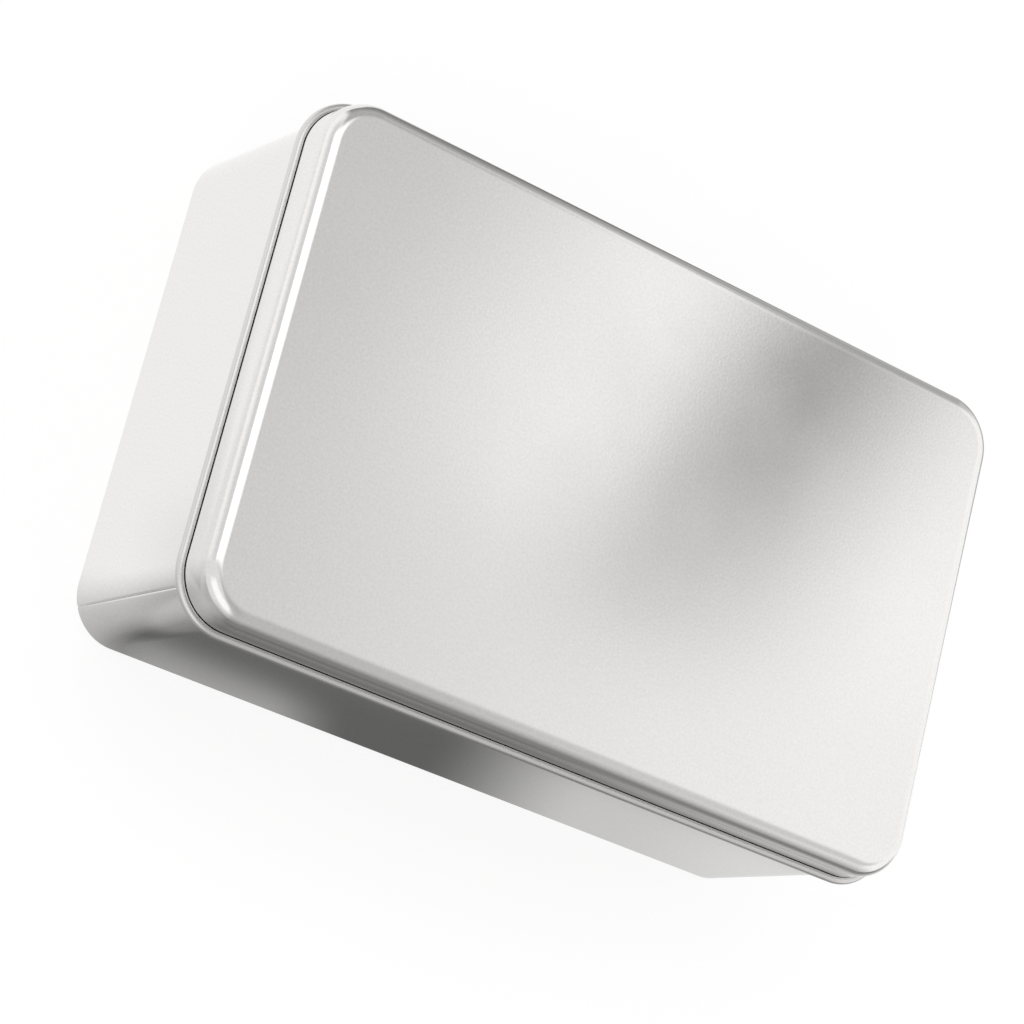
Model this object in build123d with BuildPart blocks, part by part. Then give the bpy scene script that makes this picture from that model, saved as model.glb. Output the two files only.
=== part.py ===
from build123d import *
import os
from math import cos, degrees, radians, sin, sqrt

os.makedirs("parts", exist_ok=True)

# A rectangular slip-lid tin in plain tinplate. Lengths are in millimetres and
# angles in degrees. +Z points up through the lid, +X runs along the tin, and
# the origin is at the middle of the base, in the plane that the tin stands on.

# Driving dimensions
tin_height = 61.0
body_length = 188.5
body_width = 116.5
corner_radius = 11.4
sheet = 0.25

# Lid
lid_depth = 11.6
shoulder_radius = 3.6
curl_radius = 0.85
curl_turn = 305
curl_flats = 7
lid_running_gap = 0.3
lid_side_play = 0.2
lid_border = 6.0

# Hem at the upper edge of the body
hem_depth = 3.2
hem_flat = 0.15
hem_band = 0.6

# Inside double seam between the body and the bottom plate
seam_gap = 0.04
seam_height = 2.6
hook_end_gap = 0.25
seam_band = 0.6

# Bottom plate
step_distance = 4.5
step_drop = 0.6
plate_border = 7.5

# Lock seam in the front left corner
lock_angle = 28
lock_width = 4.5
lock_dive_radius = 0.4
lock_hook_gap = 0.5
groove_depth_share = 0.7

overrun = 1.0

# Sizes that follow from the ones above. The sheets of a fold lie one layer
# apart, and its bends are tight: sharp inside, and at most one sheet in radius
# outside.
half_sheet = sheet / 2
layer = sheet + seam_gap
fold_radius = layer + half_sheet
lid_side_gap = lid_running_gap + lid_side_play
lid_length = body_length + 2 * (lid_side_gap + sheet)
lid_width = body_width + 2 * (lid_side_gap + sheet)
lid_corner_radius = corner_radius + lid_side_gap + sheet
curl_height = tin_height - lid_depth + curl_radius + half_sheet

# The lid comes to rest with the inside of its rounded shoulder over the hem's
# outer edge, one running gap away from it.
reach = shoulder_radius - sheet - lid_running_gap
hem_rise = sqrt(reach**2 - (reach - lid_side_play) ** 2)
body_height = tin_height - shoulder_radius + hem_rise + hem_flat

# Heights in the double seam, on the middle line of the sheet
body_hook_top = seam_height - half_sheet
plate_hook_bottom = sheet + seam_gap + half_sheet
plate_height = seam_height + seam_gap + half_sheet
field_height = plate_height - step_drop

# The wall's strip, between the seam and the hem
strip_bottom = plate_height + half_sheet + seam_band
strip_top = body_height - hem_depth - hem_band


def rounded_path(length, width, radius):
    """Closed rounded rectangle that starts at the middle of the front side."""
    x = length / 2
    y = width / 2
    with BuildLine() as path:
        Line((0, -y), (x - radius, -y))
        CenterArc((x - radius, radius - y), radius, 270, 90)
        Line((x, radius - y), (x, y - radius))
        CenterArc((x - radius, y - radius), radius, 0, 90)
        Line((x - radius, y), (radius - x, y))
        CenterArc((radius - x, y - radius), radius, 90, 90)
        Line((-x, y - radius), (-x, radius - y))
        CenterArc((radius - x, radius - y), radius, 180, 90)
        Line((radius - x, -y), (0, -y))
    return path.wire()


def front_section(width):
    """Plane across the front side: its x points into the tin, its y points up."""
    return Plane(origin=(0, -width / 2, 0), x_dir=(0, 1, 0), z_dir=(1, 0, 0))


# Paths round the tin, on the middle line of the sheet
body_path_length = body_length - sheet
body_path_width = body_width - sheet
body_path_radius = corner_radius - half_sheet
body_path = rounded_path(body_path_length, body_path_width, body_path_radius)

lid_path_length = lid_length - sheet
lid_path_width = lid_width - sheet
lid_path_radius = lid_corner_radius - half_sheet
lid_path = rounded_path(lid_path_length, lid_path_width, lid_path_radius)

# Lock seam, seen from above. Both ends of the wall's strip are folded back and
# hooked into each other, four layers deep, inside the front left corner. The
# end that comes from the left side folds at the seam line, and the end that
# comes from the front dives under it.
corner_x = body_path_radius - body_path_length / 2
corner_y = body_path_radius - body_path_width / 2


def at_corner(depth, angle):
    """Point in the front left corner, so far inside the wall's middle line."""
    radius = body_path_radius - depth
    return (corner_x + radius * cos(radians(angle)), corner_y + radius * sin(radians(angle)))


def turn(length, depth):
    """Angle that a length along a layer takes up at that depth."""
    return degrees(length / (body_path_radius - depth))


def layer_arc(depth, start, end):
    """Arc along one layer of the lock seam, from one angle to another."""
    return CenterArc((corner_x, corner_y), body_path_radius - depth, start, end - start)


def fold(depth, angle, direction):
    """Half round from a layer to the one two further in; direction 1 is anticlockwise."""
    start = at_corner(depth, angle)
    end = at_corner(depth + 2 * layer, angle)
    middle = at_corner(depth + layer, angle)
    along = direction * layer
    top = (middle[0] - along * sin(radians(angle)), middle[1] + along * cos(radians(angle)))
    return ThreePointArc(start, top, end)


seam_line = 180 + lock_angle
fold_line = seam_line - turn(fold_radius + seam_gap + half_sheet, layer)
far_fold_line = fold_line - turn(lock_width, 0)
dive_end = seam_line + turn(lock_dive_radius, 0)
left_hook_end = far_fold_line + turn(lock_hook_gap, 2 * layer)
right_hook_end = fold_line - turn(lock_hook_gap, layer)

with BuildPart() as body_wall:
    # Lower edge: down the wall, in under the seam, up inside it, and over into
    # the hook that hangs in the bottom plate's edge
    with BuildSketch(front_section(body_path_width)):
        with BuildLine():
            Polyline(
                (0, strip_bottom),
                (0, half_sheet),
                (4 * layer, half_sheet),
                (4 * layer, body_hook_top),
                (2 * layer, body_hook_top),
                (2 * layer, plate_hook_bottom + half_sheet + hook_end_gap),
            )
        trace(line_width=sheet)
        fillet(vertices().sort_by_distance((-half_sheet, 0))[0], sheet)
    sweep(path=body_path)

    # Upper edge: a short wall and the hem, folded down inside it, with flats
    # along both edges of the fold
    with BuildSketch(front_section(body_path_width)):
        with BuildLine():
            hem_top = body_height - half_sheet
            Polyline((0, strip_top), (0, hem_top), (layer, hem_top), (layer, body_height - hem_depth))
        trace(line_width=sheet)
        chamfer(vertices().group_by(Axis.Y)[-1], hem_flat)
    sweep(path=body_path)

    # The lock seam's groove runs on over both edges: it is what the two round
    # folds leave open between them
    with BuildSketch():
        with BuildLine():
            groove_depth = sheet * groove_depth_share
            layer_arc(groove_depth / 2 - half_sheet - overrun / 2, fold_line, dive_end)
        trace(line_width=groove_depth + overrun)
        with Locations(at_corner(layer, fold_line)):
            Circle(fold_radius, mode=Mode.SUBTRACT)
        with Locations(at_corner(lock_dive_radius, dive_end)):
            Circle(lock_dive_radius + half_sheet, mode=Mode.SUBTRACT)
    extrude(amount=body_height, mode=Mode.SUBTRACT)

    # The strip between the two edges, open at the seam line, with its two ends
    # hooked into each other
    with BuildSketch(Plane.XY.offset(strip_bottom)):
        trace(body_path, line_width=sheet)
        with BuildLine():
            layer_arc(0, fold_line, dive_end)
        trace(line_width=sheet + 2 * overrun, mode=Mode.SUBTRACT)
        with BuildLine():
            fold(0, fold_line, 1)
            layer_arc(2 * layer, fold_line, left_hook_end)
        trace(line_width=sheet)
        with BuildLine():
            outside = layer_arc(0, dive_end + turn(overrun, 0), seam_line)
            dive = Line(outside @ 1, at_corner(3 * layer, seam_line))
            layer_arc(3 * layer, seam_line, far_fold_line)
            fillet(dive.vertices(), lock_dive_radius)
            fold(layer, far_fold_line, -1)
            layer_arc(layer, far_fold_line, right_hook_end)
        trace(line_width=sheet)
    extrude(amount=strip_top - strip_bottom)

body_wall.part.label = "body_wall"
export_step(body_wall.part, "parts/body_wall.step")

# Bottom plate: its edge turns down into the seam and up again as a hook, and
# its field is pressed down inside a step, clear of the ground
with BuildPart() as bottom_plate:
    with BuildSketch(front_section(body_path_width)):
        with BuildLine():
            Polyline(
                (plate_border, field_height),
                (step_distance + step_drop, field_height),
                (step_distance, plate_height),
                (layer, plate_height),
                (layer, plate_hook_bottom),
                (3 * layer, plate_hook_bottom),
                (3 * layer, body_hook_top - half_sheet - hook_end_gap),
            )
        trace(line_width=sheet)
    sweep(path=body_path)
    with BuildSketch(Plane.XY.offset(field_height - half_sheet)):
        RectangleRounded(
            body_path_length - 2 * plate_border,
            body_path_width - 2 * plate_border,
            body_path_radius - plate_border,
        )
    extrude(amount=sheet)

bottom_plate.part.label = "bottom_plate"
export_step(bottom_plate.part, "parts/bottom_plate.step")

# Lid: flat top, round shoulder, skirt, and the outward curl at its edge
with BuildPart() as lid:
    with BuildSketch(front_section(lid_path_width)):
        with BuildLine():
            lid_top = tin_height - half_sheet
            FilletPolyline(
                (lid_border, lid_top),
                (0, lid_top),
                (0, curl_height),
                radius=shoulder_radius - half_sheet,
            )
        trace(line_width=sheet)

        # The curl is round outside, its hidden hollow has flats, and a narrow
        # slit stays open between its end and the skirt
        with BuildLine():
            outside = CenterArc((-curl_radius, curl_height), curl_radius + half_sheet, 0, -curl_turn)
            hollow = curl_radius - half_sheet
            flat_angles = [radians(-curl_turn * (1 - i / curl_flats)) for i in range(curl_flats + 1)]
            flats = [(hollow * cos(a) - curl_radius, hollow * sin(a) + curl_height) for a in flat_angles]
            Polyline(outside @ 1, *flats, outside @ 0)
        make_face()
    sweep(path=lid_path)
    with BuildSketch(Plane.XY.offset(tin_height - sheet)):
        RectangleRounded(
            lid_path_length - 2 * lid_border,
            lid_path_width - 2 * lid_border,
            lid_path_radius - lid_border,
        )
    extrude(amount=sheet)

lid.part.label = "lid"
export_step(lid.part, "parts/lid.step")
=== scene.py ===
from math import cos, pi, radians, sin, tan

import bpy
import numpy as np
from mathutils import Matrix, Vector


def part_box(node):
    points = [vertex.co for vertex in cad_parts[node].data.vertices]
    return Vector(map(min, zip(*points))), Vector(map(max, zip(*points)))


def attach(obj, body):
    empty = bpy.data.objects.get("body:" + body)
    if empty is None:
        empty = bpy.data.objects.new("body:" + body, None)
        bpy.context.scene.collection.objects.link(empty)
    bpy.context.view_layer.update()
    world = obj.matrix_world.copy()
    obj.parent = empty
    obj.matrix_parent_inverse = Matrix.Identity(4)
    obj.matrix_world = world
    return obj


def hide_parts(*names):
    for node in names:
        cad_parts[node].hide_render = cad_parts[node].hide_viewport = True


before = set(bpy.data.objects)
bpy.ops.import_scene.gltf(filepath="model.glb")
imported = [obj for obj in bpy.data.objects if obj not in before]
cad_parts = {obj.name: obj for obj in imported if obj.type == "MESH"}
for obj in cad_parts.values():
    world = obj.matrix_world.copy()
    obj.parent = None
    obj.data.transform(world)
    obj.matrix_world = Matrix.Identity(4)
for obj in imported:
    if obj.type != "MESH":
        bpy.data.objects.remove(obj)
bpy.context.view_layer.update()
wall_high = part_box("body_wall")[1]
lid_low, lid_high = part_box("lid")

bl_info = {
    "name": "Slip-lid tin",
    "version": (1, 0, 0),
    "blender": (4, 5, 0),
    "location": "3D View > Sidebar > Tin",
    "description": "Dresses a rectangular slip-lid tin in satin tinplate and sets a plain studio round it",
    "category": "Object",
}

MM = 0.001
SHEET = 0.25 * MM
LID_GAP = 0.5 * MM

# Bends that are rounder than in the solids. The base bend's radius is its inside one, and the
# step's and the rim's are on the middle of the sheet.
BASE_BEND = 0.025 * MM
STEP_BEND = 0.6 * MM
RIM_BEND = 0.25 * MM

# The slope of the bottom plate's step, and how far a hook's end stays out of the fold round it
STEP_TURN = pi / 4
HOOK_END_GAP = 0.25 * MM

# From the lid's skirt, and from the bottom plate's step, to where the rings of the panel begin
LID_BORDER = 6 * MM
FIELD_BORDER = 3 * MM

# The lock seam: the bend where one end of the strip dives under the other, the places beside the
# seam line between which the band of layers slopes back to the wall, the band's distance from the
# hem and from the double seam, and the height over which it rises there
DIVE_RADIUS = 0.4 * MM
BAND_SLOPE = (-0.35 * MM, 0.85 * MM)
STRIP_MARGIN = 0.6 * MM
BAND_RISE = 0.3 * MM

# The part of the skirt that seems to lean out: its height, and where it ends above the curl
FLARE_HEIGHT = 5.2 * MM
FLARE_END = 0.3 * MM

# How finely the surfaces are divided
BEND_STEP = radians(9)
CORNER_STEPS = 24
COLUMN_SPACING = 8 * MM
ROW_SPACING = 4 * MM
SUPPORT = 0.3 * MM
PANEL_RINGS = 16
SHARP_ANGLE = radians(40)

# Corners are numbered anticlockwise from the back right one
FRONT_LEFT = 2

# Close columns at the lock seam: how far they reach before the far fold and past it, and before the
# near fold and past the seam line, with their number; and how clear the plain columns stay of them,
# and they of the corner's start
FAR_FOLD_COLUMNS = (0.9 * MM, 0.3 * MM, 25)
NEAR_FOLD_COLUMNS = (0.2 * MM, 1.3 * MM, 61)
COLUMN_CLEARANCE = radians(1.2)
CORNER_CLEARANCE = radians(0.1)

# Extra rows where the band begins, from below its edge to above it
BAND_ROWS = np.linspace(-0.2, 0.4, 7) * MM

# Clouds in the gloss: how many to a metre, and how far they move the roughness either way
CLOUDS_PER_METRE = 35
CLOUD_ROUGHNESS = 0.04

# The stage, in metres from its middle
FLOOR_REACH = 6.0
FLOOR_ROWS = 5
FLOOR_ROUGHNESS = 0.9
TENT_RADIUS = 1.5
CARDS_REACH = 0.98 * TENT_RADIUS
CARDS_HEIGHT = 0.02 * MM
CARDS_ROWS = 421

# Levels of brightness, 1 for white, of the parts of the tent and the cards that are even
TENT_CLOTH = 1.08
LEFT_CLOTH = 0.85
LEFT_PATCH = 0.76
BACK_STRIP = 0.43
BACK_BESIDE_STRIP = 0.63
SOFT_BOX = 1.5
SMALL_BOX = 1.18
FAR_CARD = 0.25
BRIGHT_CARD = 1.1

# Lowest elevation, in degrees, that has a place on the plan of the tent's ceiling
CEILING_HORIZON = 8

# The ground cards, in millimetres: the front card's near edge, the middle of its round corner, how
# far its light part moves to the right with each millimetre outwards, the distance out from which
# it spreads and that at which it is twice as wide, and where the bright card begins
CARD_FRONT = -58
CARD_CORNER = (-82, -46)
CARD_SLANT = 0.45
SPREAD_START, SPREAD_DOUBLE = 40, 160
BRIGHT_CARD_START = 140

# Camera: the point it looks at, its distance and direction from there, and its roll
CAMERA_AIM = Vector((-28.98, -13.22, 61.0)) * MM
CAMERA_DISTANCE = 701.06 * MM
CAMERA_AZIMUTH = radians(-149.7352)
CAMERA_ELEVATION = radians(55.6321)
CAMERA_ROLL = radians(78.5071)
CAMERA_LENS = 115.32
CAMERA_SENSOR = 36


# Sizes and colours

def length(name, description, default):
    """Length setting in metres."""
    return bpy.props.FloatProperty(
        name=name, description=description, default=default, min=0, unit="LENGTH", precision=5
    )


def share(name, description, default):
    """Setting between nothing and all."""
    return bpy.props.FloatProperty(
        name=name, description=description, default=default, min=0, max=1, subtype="FACTOR"
    )


def colour(name, description, default):
    """Colour setting."""
    return bpy.props.FloatVectorProperty(
        name=name, description=description, default=default, size=3, min=0, max=1, subtype="COLOR"
    )


class TinSizes(bpy.types.PropertyGroup):
    """Sizes of the tin's three sheets."""

    body_length: length("Body length", "Outside, along the tin", 2 * wall_high.x)
    body_width: length("Body width", "Outside, across the tin", 2 * wall_high.y)
    body_height: length("Body height", "From the base to the top of the hem", wall_high.z)
    tin_height: length("Closed height", "From the base to the top of the lid", lid_high.z)
    lid_depth: length("Lid depth", "From the lid's top to the bottom of its curl", lid_high.z - lid_low.z)
    corner_radius: length("Corner radius", "Outside, of the body's upright corners", 11.4 * MM)
    sheet: length("Sheet", "Thickness of the tinplate", SHEET)
    lid_gap: length("Lid gap", "Between the body and the lid's skirt", LID_GAP)
    shoulder_radius: length("Shoulder radius", "Outside, at the lid's upper edge", 3.6 * MM)
    curl_radius: length(
        "Curl radius", "Of the lid's rolled edge, on the sheet's middle line",
        (lid_high.x - wall_high.x - LID_GAP - SHEET) / 2,
    )
    curl_turn: bpy.props.FloatProperty(
        name="Curl turn", description="How far the lid's edge is rolled round",
        default=radians(305), min=radians(90), max=radians(330), subtype="ANGLE", unit="ROTATION",
    )
    hem_depth: length("Hem depth", "Height of the leg folded down inside the body's upper edge", 3.2 * MM)
    fold_gap: length("Fold gap", "Between the layers of a fold", 0.04 * MM)
    seam_height: length("Seam height", "Of the double seam round the bottom plate", 2.6 * MM)
    step_distance: length("Step distance", "From the wall to the step in the bottom plate", 4.5 * MM)
    step_drop: length("Step drop", "Depth of the pressed field of the bottom plate", 0.6 * MM)
    lock_angle: bpy.props.FloatProperty(
        name="Lock seam angle", description="Round the front left corner, from the left side",
        default=radians(28), min=radians(10), max=radians(80), subtype="ANGLE", unit="ROTATION",
    )
    lock_width: length("Lock seam width", "Of the band of folded layers inside the corner", 4.5 * MM)


class TinFinish(bpy.types.PropertyGroup):
    """Finish of the tinplate."""

    metal: colour("Tinplate", "Colour of the tin coating", (0.86, 0.85, 0.835))
    metal_dark: colour("Tinplate, dull", "Colour where the grain is dullest", (0.80, 0.79, 0.775))
    roughness: share("Roughness", "Of the satin surface", 0.13)
    worked_roughness: share("Curl roughness", "Added where the lid's edge has been rolled", 0.2)
    # Painted shade: the curl's colour is made darker for the shade it lies in under the skirt, not by its
    # rolling
    curl_painted_shade: colour("Curl", "Colour where the lid's edge has been rolled", (0.72, 0.71, 0.70))
    skirt_lean: share("Skirt lean", "Slope outwards that the skirt's foot seems to have", 0.48)
    grain_size: length("Grain size", "Width of a fleck of the matt grain", 0.65 * MM)
    grain_depth: length("Grain depth", "Height of the matt grain", 0.004 * MM)


class TinStage(bpy.types.PropertyGroup):
    """Floor and light."""

    floor_colour: colour("Floor", "Colour of the plain floor", (0.30, 0.30, 0.30))
    floor_glow: share("Floor white", "White that the camera and reflections see on the floor", 0.76)
    world_strength: share("Surrounding light", "Strength of the light from all round", 0.6)


# Shapes

def stations(size, spacing):
    """Distances along a straight run: both ends, a support close to each, and even steps between.

    A short run has only its ends.
    """
    if size <= 4 * SUPPORT:
        return np.unique([0.0, size])
    inner = np.linspace(SUPPORT, size - SUPPORT, max(2, int(round(size / spacing)) + 1))
    return np.concatenate(([0.0], inner, [size]))


def bend_sheet(start, heading, moves, marks=()):
    """Section of a bent sheet, on its middle line, with x inwards and y up.

    The line leaves the start at the heading and follows the moves in order. A move is a straight
    run and the bend after it: (run, radius, turn), with a turn to the left positive. On a bend the
    point is the bend's centre minus the radius times the direction of the sheet's left side, for
    a left turn, and plus it for a right one. Marks are extra distances on the run of that number.
    Gives the points and the direction that the left side faces, one row each.
    """
    here = np.array(start, float)
    points, sides = [], []
    for number, (run, radius, turn) in enumerate(moves):
        along = np.array([cos(heading), sin(heading)])
        left = np.array([-sin(heading), cos(heading)])
        steps = stations(run, ROW_SPACING)
        for wanted, extra in marks:
            if wanted == number:
                steps = np.unique(np.concatenate((steps, extra)))
        points.append(here + np.outer(steps, along))
        sides.append(np.tile(left, (len(steps), 1)))
        here = here + run * along
        if turn:
            way = np.sign(turn)
            count = max(3, int(np.ceil(abs(turn) / BEND_STEP)))
            angles = heading + np.linspace(0, turn, count + 1)[1:]
            lefts = np.column_stack((-np.sin(angles), np.cos(angles)))
            centre = here + way * radius * left
            arc = centre - way * radius * lefts
            last = number == len(moves) - 1
            points.append(arc if last else arc[:-1])
            sides.append(lefts if last else lefts[:-1])
            heading += turn
            here = arc[-1]
    return np.concatenate(points), np.concatenate(sides)


def round_columns(half_length, half_width, radius, corners):
    """Columns of a path round the tin.

    Each column has a foot on the rectangle of the corner centres and an outward direction. At a
    corner the foot stays and the direction turns through the corner's angles; along a side the
    direction stays and the foot moves from one corner centre to the next. A surface point is the
    foot plus the direction times its distance from the foot.
    """
    signs = np.array([(1, 1), (-1, 1), (-1, -1), (1, -1)])
    centres = signs * (half_length - radius, half_width - radius)
    feet, angles = [], []
    for number in range(4):
        here, there = centres[number], centres[(number + 1) % 4]
        span = np.linalg.norm(there - here)
        along = stations(span, COLUMN_SPACING)[1:-1] / span
        feet.append(np.tile(here, (len(corners[number]), 1)))
        angles.append(corners[number])
        feet.append(here + np.outer(along, there - here))
        angles.append(np.full(len(along), (number + 1) * pi / 2))
    feet, angles = np.concatenate(feet), np.concatenate(angles)
    return feet, np.column_stack((np.cos(angles), np.sin(angles))), angles


def plain_corners():
    """Angles of the columns in four plain corners."""
    return [np.linspace(n, n + 1, CORNER_STEPS + 1) * pi / 2 for n in range(4)]


def carry_round(section, columns, radius):
    """Grid of points: every section point, a depth and a height, carried round the columns."""
    feet, directions, _ = columns
    reach = (radius - section[:, 0])[:, None, None]
    flat = feet[None] + reach * directions[None]
    height = np.broadcast_to(section[:, 1][:, None, None], flat.shape[:2] + (1,))
    return np.concatenate((flat, height), axis=2)


def rings(edge, count):
    """Rings from the middle of a panel out to its edge: the edge ring times a growing share."""
    growth = np.linspace(0, 1, count + 1)[1:-1][:, None, None]
    inside = edge[None] * growth
    inside[..., 2] = edge[:, 2]
    return inside


def skin(name, grid, panel, curl_dull_and_shade=None):
    """Closed mesh over a grid whose columns close on themselves.

    For a ring the rows close on themselves too. For a panel the first and the last row are each
    closed by a fan round their own middle point. If the enclosed volume comes out negative, every
    face is turned over, so that all of them point outwards. The last argument says, row by row, how
    far a rolling tool has dulled the metal, which makes it rougher, and how far painted shade
    darkens its colour; it is kept as an attribute of the points.
    """
    rows, columns, _ = grid.shape
    index = np.arange(rows * columns).reshape(rows, columns)
    after = np.roll(index, -1, axis=1)
    points = grid.reshape(-1, 3)
    if panel:
        quads = np.stack((index[:-1], index[1:], after[1:], after[:-1]), axis=-1)
        poles = np.array([grid[0].mean(0), grid[-1].mean(0)])
        points = np.concatenate((points, poles))
        first, last = np.full(columns, rows * columns), np.full(columns, rows * columns + 1)
        fans = np.concatenate((
            np.column_stack((first, index[0], after[0])),
            np.column_stack((last, after[-1], index[-1])),
        ))
    else:
        below, below_after = np.roll(index, -1, axis=0), np.roll(after, -1, axis=0)
        quads = np.stack((index, below, below_after, after), axis=-1)
        fans = np.zeros((0, 3), int)
    quads = quads.reshape(-1, 4)
    triangles = np.concatenate((quads[:, :3], quads[:, [0, 2, 3]], fans))
    a, b, c = (points[triangles[:, k]] for k in range(3))
    if np.einsum("ij,ij->i", a, np.cross(b, c)).sum() < 0:
        quads, fans = quads[:, ::-1], fans[:, ::-1]

    mesh = bpy.data.meshes.new(name)
    mesh.from_pydata(points.tolist(), [], quads.tolist() + fans.tolist())
    mesh.validate()
    mesh.shade_smooth()
    mesh.set_sharp_from_angle(angle=SHARP_ANGLE)
    dulled = np.zeros(len(points), np.float32)
    if curl_dull_and_shade is not None:
        dulled[:rows * columns] = np.repeat(curl_dull_and_shade, columns)
    mesh.attributes.new("curl_dull_and_shade", "FLOAT", "POINT").data.foreach_set("value", dulled)
    piece = bpy.data.objects.new(name, mesh)
    bpy.context.scene.collection.objects.link(piece)
    return piece


def both_faces(middle, sides, half_sheet):
    """The right face along the sheet, then the left face back again."""
    return np.concatenate((middle - half_sheet * sides, (middle + half_sheet * sides)[::-1]))


def settle(piece, body, node, material):
    """Gives a finished piece its material and its body, and hides the solid that it stands for."""
    piece.data.materials.append(material)
    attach(piece, body)
    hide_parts(node)


def hump(x, start, end):
    """Smooth rise from 0 at the start to 1 at the end."""
    t = np.clip((x - start) / (end - start), 0, 1)
    return t * t * (3 - 2 * t)


# Pieces

def wall_corners(sizes, middle_radius):
    """Angles of the wall's columns, close together where the lock seam is."""
    corners = plain_corners()
    seam = pi + sizes.lock_angle
    turn = 1 / middle_radius
    near_fold = seam - 2 * (sizes.sheet + sizes.fold_gap) * turn
    far_fold = near_fold - sizes.lock_width * turn
    before, past, count = FAR_FOLD_COLUMNS
    far_columns = np.linspace(far_fold - before * turn, far_fold + past * turn, count)
    before, past, count = NEAR_FOLD_COLUMNS
    near_columns = np.linspace(near_fold - before * turn, seam + past * turn, count)
    fine = np.concatenate((far_columns, near_columns))
    plain = corners[FRONT_LEFT]
    clear = np.min(np.abs(plain[:, None] - fine[None]), axis=1) > COLUMN_CLEARANCE
    clear[[0, -1]] = True
    fine = fine[(fine > plain[0] + CORNER_CLEARANCE) & (fine < plain[-1])]
    corners[FRONT_LEFT] = np.unique(np.concatenate((plain[clear], fine)))
    return corners


def fall_away(distance, radius):
    """How far a circle has fallen at a distance past its top: r - sqrt(r^2 - d^2), d up to r."""
    distance = np.clip(distance, 0, radius)
    return radius - np.sqrt(radius**2 - distance**2)


def lock_groove(s, sizes):
    """Depth of the lock seam's groove outside, at a distance s round the corner past the seam line.

    From the left the fold's outside falls away as a circle that touches the wall at the near fold,
    from the right the dive's outside does at the dive's end, and the groove is the shallower of
    the two circles wherever both are there.
    """
    layer = sizes.sheet + sizes.fold_gap
    left = fall_away(s + 2 * layer, layer + sizes.sheet / 2)
    right = fall_away(DIVE_RADIUS - s, DIVE_RADIUS + sizes.sheet / 2)
    return np.minimum(left, right)


def lock_band(s, sizes):
    """Height of the band of folded layers inside, at a distance s round the corner.

    It is two layers and the outside of a fold high. Past the far fold it falls off as the fold's
    circle does, and at the seam line it slopes back to the wall.
    """
    layer = sizes.sheet + sizes.fold_gap
    half = sizes.sheet / 2
    fold_radius = layer + half
    past = np.clip(-2 * layer - sizes.lock_width - s, 0, None)
    swell = np.sqrt(np.clip(fold_radius**2 - past**2, 0, None))
    height = np.where(past < fold_radius, 2 * layer + swell - half, 0)
    return height * (1 - hump(s, *BAND_SLOPE))


def make_wall(sizes, material):
    """The body's wall, one ring of sheet: hem, wall, and the hook of the double seam."""
    half = sizes.sheet / 2
    layer = sizes.sheet + sizes.fold_gap
    hem_end = sizes.body_height - sizes.hem_depth
    hem_centre = sizes.body_height - layer / 2 - half
    base_bend = half + BASE_BEND
    fold_centre = sizes.seam_height - layer - half
    hook_end = sizes.sheet + layer + HOOK_END_GAP
    strip_top = hem_end - STRIP_MARGIN
    strip_bottom = sizes.seam_height + layer + STRIP_MARGIN
    marks = [(1, hem_centre - strip_top + BAND_ROWS), (1, hem_centre - strip_bottom - BAND_ROWS)]
    moves = (
        (hem_centre - hem_end, layer / 2, pi),
        (hem_centre - half - base_bend, base_bend, pi / 2),
        (4 * layer - base_bend - layer / 2, layer / 2, pi / 2),
        (fold_centre - half - layer / 2, layer, pi),
        (fold_centre - hook_end, 0, 0),
    )
    middle, sides = bend_sheet((layer, hem_end), pi / 2, moves, marks)
    section = both_faces(middle, sides, half)
    radius = sizes.corner_radius - half
    columns = round_columns(
        sizes.body_length / 2 - half, sizes.body_width / 2 - half, radius, wall_corners(sizes, radius)
    )
    grid = carry_round(section, columns, radius)

    # In the lock seam's corner the wall's outer face goes in by the groove, and its inner face by
    # the band. The first half of the section holds the outer face.
    outer = np.arange(len(section)) < len(middle)
    facing = np.concatenate((-sides, sides[::-1]))[:, 0]
    depth = np.concatenate((middle, middle[::-1]))[:, 0]
    outside = outer * (depth < layer / 2) * np.clip(-facing, 0, 1)
    z = section[:, 1]
    rise = hump(z, strip_bottom, strip_bottom + BAND_RISE)
    fall = hump(z, strip_top - BAND_RISE, strip_top)
    inside = ~outer * (depth < half) * (facing > cos(BEND_STEP / 2)) * rise * (1 - fall)
    angles = columns[2]
    in_corner = (angles >= pi) & (angles <= 1.5 * pi)
    s = (angles - pi - sizes.lock_angle) * radius
    groove = np.where(in_corner, lock_groove(s, sizes), 0)
    layers = np.where(in_corner, lock_band(s, sizes), 0)
    shift = outside[:, None] * groove + inside[:, None] * layers
    grid[..., :2] -= shift[..., None] * columns[1]
    settle(skin("seamed_wall", grid, panel=False), "tin_body", "body_wall", material)


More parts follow.
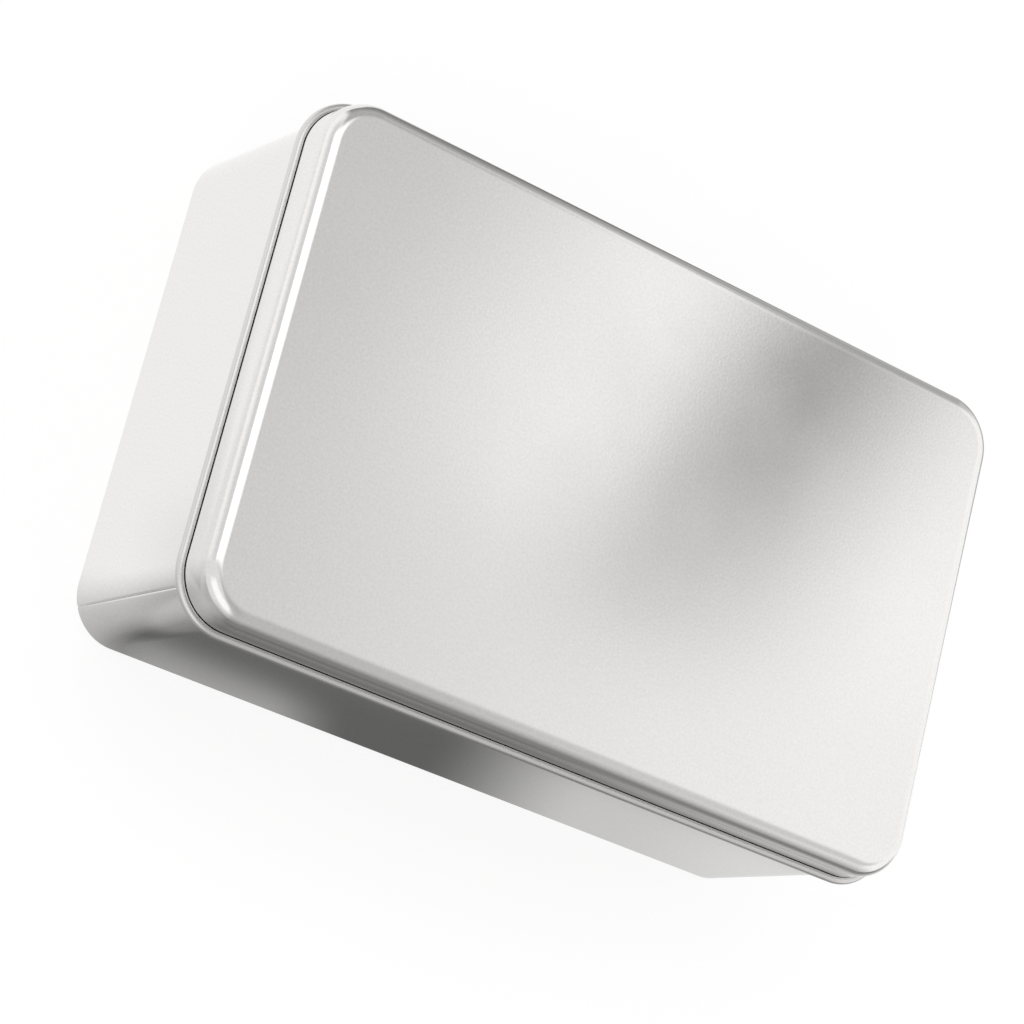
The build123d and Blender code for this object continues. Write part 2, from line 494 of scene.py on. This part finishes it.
def make_bottom(sizes, material):
    """The bottom plate: pressed field, step, and the hook of the double seam."""
    half = sizes.sheet / 2
    layer = sizes.sheet + sizes.fold_gap
    plate_height = sizes.seam_height + sizes.fold_gap + half
    field_height = plate_height - sizes.step_drop
    hook_bottom = layer + half
    hook_top = sizes.seam_height - sizes.sheet - HOOK_END_GAP
    tangent = STEP_BEND * tan(STEP_TURN / 2)
    border = sizes.step_distance + FIELD_BORDER
    moves = (
        (FIELD_BORDER - sizes.step_drop / tan(STEP_TURN) - tangent, STEP_BEND, -STEP_TURN),
        (sizes.step_drop / sin(STEP_TURN) - 2 * tangent, STEP_BEND, STEP_TURN),
        (sizes.step_distance - tangent - layer - RIM_BEND, RIM_BEND, pi / 2),
        (plate_height - RIM_BEND - hook_bottom - layer, layer, pi),
        (hook_top - hook_bottom - layer, 0, 0),
    )
    middle, sides = bend_sheet((border, field_height), pi, moves)
    radius = sizes.corner_radius - half
    columns = round_columns(
        sizes.body_length / 2 - half, sizes.body_width / 2 - half, radius, plain_corners()
    )
    grid = carry_round(both_faces(middle, sides, half), columns, radius)
    grid = np.concatenate((rings(grid[0], PANEL_RINGS), grid, rings(grid[-1], PANEL_RINGS)[::-1]))
    settle(skin("sunk_bottom", grid, panel=True), "tin_body", "bottom_plate", material)


def make_lid(sizes, material):
    """The lid: flat panel, round shoulder, skirt, and the outward curl at its edge."""
    half = sizes.sheet / 2
    shoulder = sizes.shoulder_radius - half
    curl_height = sizes.tin_height - sizes.lid_depth + sizes.curl_radius + half
    skirt = sizes.tin_height - sizes.shoulder_radius - curl_height
    moves = ((LID_BORDER - shoulder, shoulder, pi / 2), (skirt, sizes.curl_radius, -sizes.curl_turn))
    middle, sides = bend_sheet((LID_BORDER, sizes.tin_height - half), pi, moves)
    grow = sizes.lid_gap + half
    radius = sizes.corner_radius + grow
    columns = round_columns(
        sizes.body_length / 2 + grow, sizes.body_width / 2 + grow, radius, plain_corners()
    )
    section = both_faces(middle, sides, half)
    grid = carry_round(section, columns, radius)
    grid = np.concatenate((rings(grid[0], PANEL_RINGS), grid, rings(grid[-1], PANEL_RINGS)[::-1]))
    # The curl's rows: made rougher by the rolling, and darkened with painted shade
    curl = hump(-section[:, 0], half, 3 * half)
    flat = np.zeros(PANEL_RINGS - 1)
    curl_dull_and_shade = np.concatenate((flat, curl, flat))
    settle(skin("slip_lid", grid, panel=True, curl_dull_and_shade=curl_dull_and_shade), "lid", "lid", material)


# Materials

def wire(tree, source, output, target, socket):
    """Joins an output to an input."""
    tree.links.new(source.outputs[output], target.inputs[socket])


def calculate(tree, operation, *values):
    """Math node on values, each a number or a node with the name of its output.

    Gives the node with the name of its output, so that it can be a value in turn.
    """
    node = tree.nodes.new("ShaderNodeMath")
    node.operation = operation
    for number, value in enumerate(values):
        if isinstance(value, tuple):
            wire(tree, *value, node, number)
        else:
            node.inputs[number].default_value = value
    return node, "Value"


def new_group(name, inputs, outputs):
    """Node group that takes a position and named values, and gives named values."""
    tree = bpy.data.node_groups.new(name, "ShaderNodeTree")
    tree.interface.new_socket("Position", in_out="INPUT", socket_type="NodeSocketVector")
    for socket in inputs:
        tree.interface.new_socket(socket, in_out="INPUT", socket_type="NodeSocketFloat")
    for socket in outputs:
        tree.interface.new_socket(socket, in_out="OUTPUT", socket_type="NodeSocketFloat")
    return tree, tree.nodes.new("NodeGroupInput"), tree.nodes.new("NodeGroupOutput")


def grain_group():
    """Matt grain of the tinplate, as a tone, a share of cloud and a height."""
    name = "matt grain"
    if name in bpy.data.node_groups:
        return bpy.data.node_groups[name]
    inputs = ("Grains per metre", "Clouds per metre")
    tree, entry, leave = new_group(name, inputs, ("Tone", "Cloud", "Height"))
    grain = tree.nodes.new("ShaderNodeTexNoise")
    grain.inputs["Detail"].default_value = 2.0
    grain.inputs["Roughness"].default_value = 0.6
    clouds = tree.nodes.new("ShaderNodeTexNoise")
    clouds.inputs["Detail"].default_value = 3.0
    wire(tree, entry, "Position", grain, "Vector")
    wire(tree, entry, "Position", clouds, "Vector")
    wire(tree, entry, "Grains per metre", grain, "Scale")
    wire(tree, entry, "Clouds per metre", clouds, "Scale")
    spread = tree.nodes.new("ShaderNodeMapRange")
    spread.inputs["From Min"].default_value = 0.3
    spread.inputs["From Max"].default_value = 0.7
    wire(tree, grain, "Fac", spread, "Value")
    wire(tree, spread, "Result", leave, "Tone")
    wire(tree, clouds, "Fac", leave, "Cloud")
    wire(tree, grain, "Fac", leave, "Height")
    return tree


def flare_group():
    """Height of a face that leans out towards its foot: half the lean times the square of the drop.

    The drop is how far a point lies under the start, and it grows no further below the end. Half
    Lean is half the slope that the face gains per metre of drop.
    """
    name = "flare"
    if name in bpy.data.node_groups:
        return bpy.data.node_groups[name]
    tree, entry, leave = new_group(name, ("Start", "End", "Half Lean"), ("Height",))
    parts = tree.nodes.new("ShaderNodeSeparateXYZ")
    wire(tree, entry, "Position", parts, "Vector")
    level = calculate(tree, "MAXIMUM", (parts, "Z"), (entry, "End"))
    drop = calculate(tree, "SUBTRACT", (entry, "Start"), level)
    drop = calculate(tree, "MAXIMUM", drop, 0)
    square = calculate(tree, "MULTIPLY", drop, drop)
    height = calculate(tree, "MULTIPLY", square, (entry, "Half Lean"))
    wire(tree, *height, leave, "Height")
    return tree


def skirt_flare(sizes, finish):
    """Start, end and half the lean of the flare on the skirt, which ends just above the curl."""
    curl_top = sizes.tin_height - sizes.lid_depth + 2 * sizes.curl_radius + sizes.sheet
    start, end = curl_top + FLARE_HEIGHT, curl_top + FLARE_END
    return start, end, finish.skirt_lean / (start - end) / 2


def tinplate(name, finish, flare=None):
    """Satin tinplate: a pale metal with a fine matt grain and faint clouds in its gloss.

    Where an edge has been rolled the metal is rougher, and there its colour is darkened as painted
    shade. A flare, given as its start, its end and half its lean, makes an upright face mirror as if it
    leaned out towards its foot.
    """
    material = bpy.data.materials.new(name)
    material.use_nodes = True
    tree = material.node_tree
    shader = tree.nodes["Principled BSDF"]
    shader.inputs["Metallic"].default_value = 1.0
    place = tree.nodes.new("ShaderNodeTexCoord")
    grain = tree.nodes.new("ShaderNodeGroup")
    grain.node_tree = grain_group()
    grain.inputs["Grains per metre"].default_value = 1 / finish.grain_size
    grain.inputs["Clouds per metre"].default_value = CLOUDS_PER_METRE
    wire(tree, place, "Object", grain, "Position")
    tone = tree.nodes.new("ShaderNodeMix")
    tone.data_type = "RGBA"
    tone.inputs["A"].default_value = (*finish.metal_dark, 1)
    tone.inputs["B"].default_value = (*finish.metal, 1)
    wire(tree, grain, "Tone", tone, "Factor")
    # Painted shade: on the curl the colour goes over to the darker curl colour
    curl_dull_and_shade = tree.nodes.new("ShaderNodeAttribute")
    curl_dull_and_shade.attribute_name = "curl_dull_and_shade"
    darker = tree.nodes.new("ShaderNodeMix")
    darker.data_type = "RGBA"
    darker.inputs["B"].default_value = (*finish.curl_painted_shade, 1)
    wire(tree, curl_dull_and_shade, "Fac", darker, "Factor")
    wire(tree, tone, "Result", darker, "A")
    wire(tree, darker, "Result", shader, "Base Color")
    gloss = tree.nodes.new("ShaderNodeMapRange")
    gloss.inputs["To Min"].default_value = finish.roughness - CLOUD_ROUGHNESS
    gloss.inputs["To Max"].default_value = finish.roughness + CLOUD_ROUGHNESS
    wire(tree, grain, "Cloud", gloss, "Value")
    duller = calculate(tree, "MULTIPLY_ADD", (curl_dull_and_shade, "Fac"), finish.worked_roughness, (gloss, "Result"))
    wire(tree, *duller, shader, "Roughness")
    bump = tree.nodes.new("ShaderNodeBump")
    bump.inputs["Strength"].default_value = 1.0
    bump.inputs["Distance"].default_value = finish.grain_depth
    wire(tree, grain, "Height", bump, "Height")
    wire(tree, bump, "Normal", shader, "Normal")
    if flare:
        lean = tree.nodes.new("ShaderNodeGroup")
        lean.node_tree = flare_group()
        for socket, value in zip(("Start", "End", "Half Lean"), flare):
            lean.inputs[socket].default_value = value
        wire(tree, place, "Object", lean, "Position")
        tilt = tree.nodes.new("ShaderNodeBump")
        tilt.inputs["Strength"].default_value = 1.0
        tilt.inputs["Distance"].default_value = 1.0
        wire(tree, lean, "Height", tilt, "Height")
        wire(tree, tilt, "Normal", bump, "Normal")
    return material


# Stage

def sheet_grid(name, points, closed=False):
    """Open mesh over a grid of points, its columns closed on themselves or not."""
    rows, columns = points.shape[:2]
    index = np.arange(rows * columns).reshape(rows, columns)
    if closed:
        index = np.column_stack((index, index[:, :1]))
    quads = np.stack((index[:-1, :-1], index[:-1, 1:], index[1:, 1:], index[1:, :-1]), axis=-1)
    mesh = bpy.data.meshes.new(name)
    mesh.from_pydata(points.reshape(-1, 3).tolist(), [], quads.reshape(-1, 4).tolist())
    mesh.shade_smooth()
    thing = bpy.data.objects.new(name, mesh)
    bpy.context.scene.collection.objects.link(thing)
    return thing


def seen_rays(tree):
    """Output of 1 for what the camera, a reflection or a glass sees, and 0 for light that is cast."""
    rays = tree.nodes.new("ShaderNodeLightPath")
    seen = calculate(tree, "ADD", (rays, "Is Camera Ray"), (rays, "Is Glossy Ray"))
    seen = calculate(tree, "ADD", seen, (rays, "Is Transmission Ray"))
    seen[0].use_clamp = True
    return seen


def make_floor(stage):
    """A wide plain floor, white to the camera and in reflections, that keeps the tin's shadow."""
    steps = np.linspace(-FLOOR_REACH, FLOOR_REACH, FLOOR_ROWS)
    x, y = np.meshgrid(steps, steps)
    floor = sheet_grid("floor", np.stack((x, y, np.zeros_like(x)), axis=-1))
    material = bpy.data.materials.new("plain floor")
    material.use_nodes = True
    tree = material.node_tree
    shader = tree.nodes["Principled BSDF"]
    shader.inputs["Base Color"].default_value = (*stage.floor_colour, 1)
    shader.inputs["Roughness"].default_value = FLOOR_ROUGHNESS
    shader.inputs["Specular IOR Level"].default_value = 0
    shader.inputs["Emission Color"].default_value = (1, 1, 1, 1)
    level = calculate(tree, "MULTIPLY", seen_rays(tree), stage.floor_glow)
    wire(tree, *level, shader, "Emission Strength")
    material.cycles.emission_sampling = "NONE"
    floor.data.materials.append(material)


def make_world(stage):
    """White all round to the camera and in reflections, and a softer light otherwise."""
    world = bpy.data.worlds.new("studio")
    bpy.context.scene.world = world
    world.use_nodes = True
    tree = world.node_tree
    shine = tree.nodes["Background"]
    shine.inputs["Color"].default_value = (1, 1, 1, 1)
    level = tree.nodes.new("ShaderNodeMapRange")
    level.inputs["To Min"].default_value = stage.world_strength
    level.inputs["To Max"].default_value = 1.0
    wire(tree, *seen_rays(tree), level, "Value")
    wire(tree, level, "Result", shine, "Strength")


def ramp(x, between, levels=(0, 1)):
    """Level that goes smoothly from the first value to the second between two places."""
    return levels[0] + (levels[1] - levels[0]) * hump(x, *between)


def band(x, between, soft):
    """Smooth strip: 1 between two places, falling to 0 over the soft width at both."""
    start, end = between
    half = soft / 2
    return hump(x, start - half, start + half) * (1 - hump(x, end - half, end + half))


def leaning(x, y, slope, between):
    """Place x measured from an edge that leans over by the slope while y goes between two places."""
    start, end = between
    return x - slope * (np.clip(y, start, end) - start)


def over(under, level, cover):
    """A level laid over what is under it, as far as it covers."""
    return under * (1 - cover) + level * cover


def ceiling_glow(x, y, elevation, strip):
    """Brightness of the tent's ceiling, at a place on the plan of a plane one unit up.

    The ceiling goes from dull at the left to white at the right, more slowly near the tin than
    behind it, and is duller in front. Low down at the back a shade lies on it. A grey wedge hangs
    in from behind, between a sharp left edge and a soft right one.
    """
    near = np.interp(x, (0.40, 0.50, 0.56, 0.71, 0.79), (0.71, 0.84, 0.90, 1.01, 1.04))
    far = ramp(leaning(x, y, slope=0.4, between=(0.38, 0.58)), between=(0.38, 0.58), levels=(0.66, 1.11))
    glow = over(near, far, cover=ramp(y, between=(0.27, 0.36)))

    front = ramp(x + 0.25 * y, between=(0.41, 0.54), levels=(0.57, 0.70))
    front = front - ramp(x, between=(0.22, 0.36), levels=(0.07, 0))
    nearness = leaning(-y, x, slope=0.9, between=(0.64, 0.84))
    glow = over(glow, front, cover=ramp(nearness, between=(-0.22, 0.18)))

    shade = ramp(strip, between=(62, 68), levels=(0, 0.3))
    glow = glow * (1 - shade * ramp(elevation, between=(48, 56), levels=(1, 0)))

    left_edge = np.interp(y, (0.2, 0.5, 0.72, 0.88, 1.13, 2.8), (0.53, 0.67, 0.74, 0.80, 0.91, 1.63))
    right_edge = np.interp(y, (0.2, 0.5, 0.78, 1.05, 1.5, 2.8), (0.697, 0.831, 0.93, 1.06, 1.33, 2.35))
    wedge = ramp(x - left_edge, between=(-0.006, 0.014))
    wedge = wedge * ramp(x - right_edge, between=(-0.11, 0.03), levels=(1, 0))
    wedge = wedge * np.interp(y, (0.27, 0.29, 0.32, 0.40, 0.48), (0, 0.35, 0.62, 0.86, 1))
    return over(glow, ramp(y, between=(0.43, 0.66), levels=(0.28, 0.42)), cover=wedge)


def side_glow(azimuth, elevation, strip):
    """Brightness of the tent's sides, in a direction in degrees.

    The cloth is white, and a little grey at the left, where its front end is darker low down. A
    grey patch stands behind the left end. The front is dark and grows lighter upwards, with a
    lighter part at the right. The back is dark and grows lighter upwards too, and it is crossed
    by a darker strip, with a lighter part on one side of it and a shade on the other.
    """
    glow = np.full_like(azimuth, TENT_CLOTH, dtype=float)
    foot = ramp(elevation, between=(-4, 26), levels=(0.35, 0))
    left = LEFT_CLOTH - foot * band(azimuth, between=(-120, -90), soft=20)
    cover = band(azimuth, between=(-192, -90), soft=20) + ramp(azimuth, between=(162, 180))
    glow = over(glow, left, cover)
    cover = band(azimuth, between=(118, 172), soft=16) * ramp(elevation, between=(12, 40))
    glow = over(glow, LEFT_PATCH, cover)

    front = ramp(elevation, between=(-2, 34), levels=(0.30, 0.58))
    rightwards = leaning(azimuth, elevation, slope=0.3, between=(20, 90))
    front = front + ramp(rightwards, between=(-60, -44), levels=(0, 0.32))
    glow = over(glow, front, cover=band(azimuth, between=(-95, -34), soft=20))

    back = ramp(elevation, between=(0, 36), levels=(0.38, 0.72))
    back = back * ramp(strip, between=(62, 68), levels=(1, 0.7))
    back = over(back, BACK_BESIDE_STRIP, cover=ramp(strip, between=(51, 54), levels=(1, 0)))
    back = over(back, BACK_STRIP, cover=band(strip, between=(52.5, 58), soft=3))
    return over(glow, back, cover=band(azimuth, between=(40, 110), soft=12))


def tent_glow(azimuth, elevation):
    """Brightness of the light tent in a direction, in degrees, 0 along +X and 90 along +Y.

    From the front round to the back the ceiling takes over from the sides as they rise. A soft
    box hangs high at the left, and a smaller one in front of it. The strip is the azimuth measured
    from a line that leans over as it rises.
    """
    reach = 1 / np.tan(np.radians(np.clip(elevation, CEILING_HORIZON, 90)))
    x, y = reach * np.cos(np.radians(azimuth)), reach * np.sin(np.radians(azimuth))
    strip = azimuth + np.interp(elevation, (12, 34, 44, 50), (0, 5.5, 12, 17))
    cover = ramp(elevation, between=(32, 42)) * band(azimuth, between=(-75, 110), soft=30)
    glow = over(side_glow(azimuth, elevation, strip), ceiling_glow(x, y, elevation, strip), cover)

    cover = ramp(x, between=(-0.78, -0.60)) * ramp(x, between=(0.06, 0.30), levels=(1, 0))
    cover = cover * ramp(y, between=(0.08, 0.24)) * ramp(y, between=(0.50, 0.85), levels=(1, 0))
    glow = over(glow, SOFT_BOX, cover)
    cover = band(azimuth, between=(-156, -92), soft=14) * band(elevation, between=(30, 64), soft=16)
    return over(glow, SMALL_BOX, cover)


def ground_glow(x, y):
    """Brightness of the ground cards at a place in metres. The places below are in millimetres.

    The paper is white. In front of the tin lies a card that is dark at the left and lighter to
    the right, and beyond it one that goes over to a plain grey. Round the front left corner the
    card covers the white less and less, by the direction from the corner's middle and a little by
    the distance. Behind the tin lies another dark card, and far out at the right a bright one.
    """
    x, y = x / MM, y / MM
    out = CARD_FRONT - y
    slanted = x - CARD_SLANT * out
    spread = slanted / (1 + np.clip(out - SPREAD_START, 0, None) / (SPREAD_DOUBLE - SPREAD_START))
    near = ramp(spread, between=(-2, 46), levels=(0.13, 0.63))
    near = near + ramp(spread, between=(46, 110), levels=(0, 0.16))
    near = near + ramp(out, between=(0, 10), levels=(0.26, 0)) * band(x, between=(-82, -32), soft=24)
    beyond = ramp(slanted, between=(-3, 118), levels=(0.17, 0.55))
    beyond = beyond + ramp(out, between=(20, 60), levels=(0.04, 0))
    beyond = beyond + ramp(x, between=(-85, -62), levels=(0.12, 0))
    beyond = over(beyond, FAR_CARD, cover=ramp(out, between=(30, 125)))
    front = over(near, beyond, cover=ramp(out, between=(11, 16)))

    along, across = CARD_CORNER[0] - x, CARD_CORNER[1] - y
    turn = np.degrees(np.arctan2(across, along))
    corner = np.interp(turn, (-12, 10, 35, 60, 78, 92), (0, 0.16, 0.42, 0.56, 0.78, 1))
    extra = ramp(turn, between=(-50, -20), levels=(0, 0.13))
    extra = extra + ramp(turn, between=(0, 30), levels=(0, 0.08))
    extra = extra * ramp(turn, between=(35, 80), levels=(1, 0))
    corner = corner + extra * ramp(np.hypot(along, across), between=(22, 42))
    cover = np.where(x < CARD_CORNER[0], corner, ramp(out, between=(-12, -2)))
    ground = over(np.ones_like(x), front, cover)

    behind = ramp(x - 0.3 * y, between=(0, 80), levels=(0.24, 0.49))
    ground = over(ground, behind, cover=ramp(x, between=(-60, 0)) * ramp(y, between=(55, 70)))
    cover = ramp(y, between=(-28, 2)) * ramp(y, between=(60, 90), levels=(1, 0))
    return np.where(x > BRIGHT_CARD_START, over(ground, BRIGHT_CARD, cover), ground)


def glow_material(name):
    """Plain light of the strength that the surface's own attribute gives."""
    material = bpy.data.materials.new(name)
    material.use_nodes = True
    tree = material.node_tree
    tree.nodes.clear()
    level = tree.nodes.new("ShaderNodeAttribute")
    level.attribute_name = "glow"
    shine = tree.nodes.new("ShaderNodeEmission")
    leave = tree.nodes.new("ShaderNodeOutputMaterial")
    wire(tree, level, "Fac", shine, "Strength")
    wire(tree, shine, "Emission", leave, "Surface")
    material.cycles.emission_sampling = "NONE"
    return material


def light_up(thing, glow, material):
    """Writes the brightness to a stage surface that only light and reflections see."""
    attribute = thing.data.attributes.new("glow", "FLOAT", "POINT")
    attribute.data.foreach_set("value", glow.ravel().astype(np.float32))
    thing.data.materials.append(material)
    thing.visible_camera = False


def make_tent():
    """Half a sphere of white cloth over the tin, with grey parts for the metal to mirror.

    A point is the tent's radius times (cos e cos a, cos e sin a, sin e), with a column for each
    degree of azimuth a and a row for each degree of elevation e.
    """
    azimuth, elevation = np.meshgrid(np.arange(-180, 180, 1.0), np.linspace(0, 90, 91))
    a, e = np.radians(azimuth), np.radians(elevation)
    points = TENT_RADIUS * np.stack((np.cos(e) * np.cos(a), np.cos(e) * np.sin(a), np.sin(e)), axis=-1)
    tent = sheet_grid("light_tent", points, closed=True)
    light_up(tent, tent_glow(azimuth, elevation), glow_material("tent cloth"))


def make_ground_cards():
    """Sheet just over the floor that only reflections see.

    Its rows and columns lie at the reach times t |t|, with t in even steps from -1 to 1, so they
    are closest near the tin.
    """
    t = np.linspace(-1, 1, CARDS_ROWS)
    steps = CARDS_REACH * t * np.abs(t)
    x, y = np.meshgrid(steps, steps)
    cards = sheet_grid("ground_cards", np.stack((x, y, np.full_like(x, CARDS_HEIGHT)), axis=-1))
    light_up(cards, ground_glow(x, y), glow_material("card paper"))
    cards.visible_diffuse = False
    cards.visible_shadow = False


def make_camera():
    """Camera at the photograph's place: high in front of the left end, and rolled on its side.

    It starts at the point it looks at, facing straight down. It is turned by its roll, raised by
    its distance, tipped about that point by what its elevation lacks to 90 degrees, and turned to
    its azimuth.
    """
    camera = bpy.data.cameras.new("camera")
    camera.lens = CAMERA_LENS
    camera.sensor_width = CAMERA_SENSOR
    camera.clip_start = 0.01
    roll = Matrix.Rotation(CAMERA_ROLL, 4, "Z")
    tip = Matrix.Rotation(pi / 2 - CAMERA_ELEVATION, 4, "X")
    turn = Matrix.Rotation(CAMERA_AZIMUTH + pi / 2, 4, "Z")
    back_off = Matrix.Translation((0, 0, CAMERA_DISTANCE))
    holder = bpy.data.objects.new("camera", camera)
    holder.matrix_world = Matrix.Translation(CAMERA_AIM) @ turn @ tip @ back_off @ roll
    bpy.context.scene.collection.objects.link(holder)
    bpy.context.scene.camera = holder


# Operators, panel and registration

class TIN_OT_wall(bpy.types.Operator):
    """Makes the body's seamed wall"""

    bl_idname = "tin.wall"
    bl_label = "Wall"

    def execute(self, context):
        scene = context.scene
        make_wall(scene.tin_sizes, tinplate("tinplate_wall", scene.tin_finish))
        return {"FINISHED"}


class TIN_OT_bottom(bpy.types.Operator):
    """Makes the sunk bottom plate"""

    bl_idname = "tin.bottom"
    bl_label = "Bottom plate"

    def execute(self, context):
        scene = context.scene
        make_bottom(scene.tin_sizes, tinplate("tinplate_bottom", scene.tin_finish))
        return {"FINISHED"}


class TIN_OT_lid(bpy.types.Operator):
    """Makes the lid with its shoulder and curl"""

    bl_idname = "tin.lid"
    bl_label = "Lid"

    def execute(self, context):
        sizes, finish = context.scene.tin_sizes, context.scene.tin_finish
        make_lid(sizes, tinplate("tinplate_lid", finish, skirt_flare(sizes, finish)))
        return {"FINISHED"}


class TIN_OT_stage(bpy.types.Operator):
    """Makes the floor, the light and the camera"""

    bl_idname = "tin.stage"
    bl_label = "Stage"

    def execute(self, context):
        make_floor(context.scene.tin_stage)
        make_world(context.scene.tin_stage)
        make_tent()
        make_ground_cards()
        make_camera()
        context.scene.view_settings.view_transform = "Standard"
        return {"FINISHED"}


class TIN_PT_panel(bpy.types.Panel):
    """Settings and makers of the tin"""

    bl_idname = "TIN_PT_panel"
    bl_label = "Slip-lid tin"
    bl_space_type = "VIEW_3D"
    bl_region_type = "UI"
    bl_category = "Tin"

    def draw(self, context):
        for operator in (TIN_OT_wall, TIN_OT_bottom, TIN_OT_lid, TIN_OT_stage):
            self.layout.operator(operator.bl_idname)
        for group in (context.scene.tin_sizes, context.scene.tin_finish, context.scene.tin_stage):
            box = self.layout.box()
            for name in group.__annotations__:
                box.prop(group, name)


CLASSES = (
    TinSizes, TinFinish, TinStage,
    TIN_OT_wall, TIN_OT_bottom, TIN_OT_lid, TIN_OT_stage, TIN_PT_panel,
)


def register():
    """Registers the classes and hangs the settings on the scene."""
    for item in CLASSES:
        bpy.utils.register_class(item)
    bpy.types.Scene.tin_sizes = bpy.props.PointerProperty(type=TinSizes)
    bpy.types.Scene.tin_finish = bpy.props.PointerProperty(type=TinFinish)
    bpy.types.Scene.tin_stage = bpy.props.PointerProperty(type=TinStage)


def unregister():
    """Takes both away again."""
    del bpy.types.Scene.tin_sizes
    del bpy.types.Scene.tin_finish
    del bpy.types.Scene.tin_stage
    for item in reversed(CLASSES):
        bpy.utils.unregister_class(item)


def main():
    """Makes the tin and its stage."""
    register()
    for operator in (bpy.ops.tin.wall, bpy.ops.tin.bottom, bpy.ops.tin.lid, bpy.ops.tin.stage):
        operator()


if __name__ == "__main__":
    main()
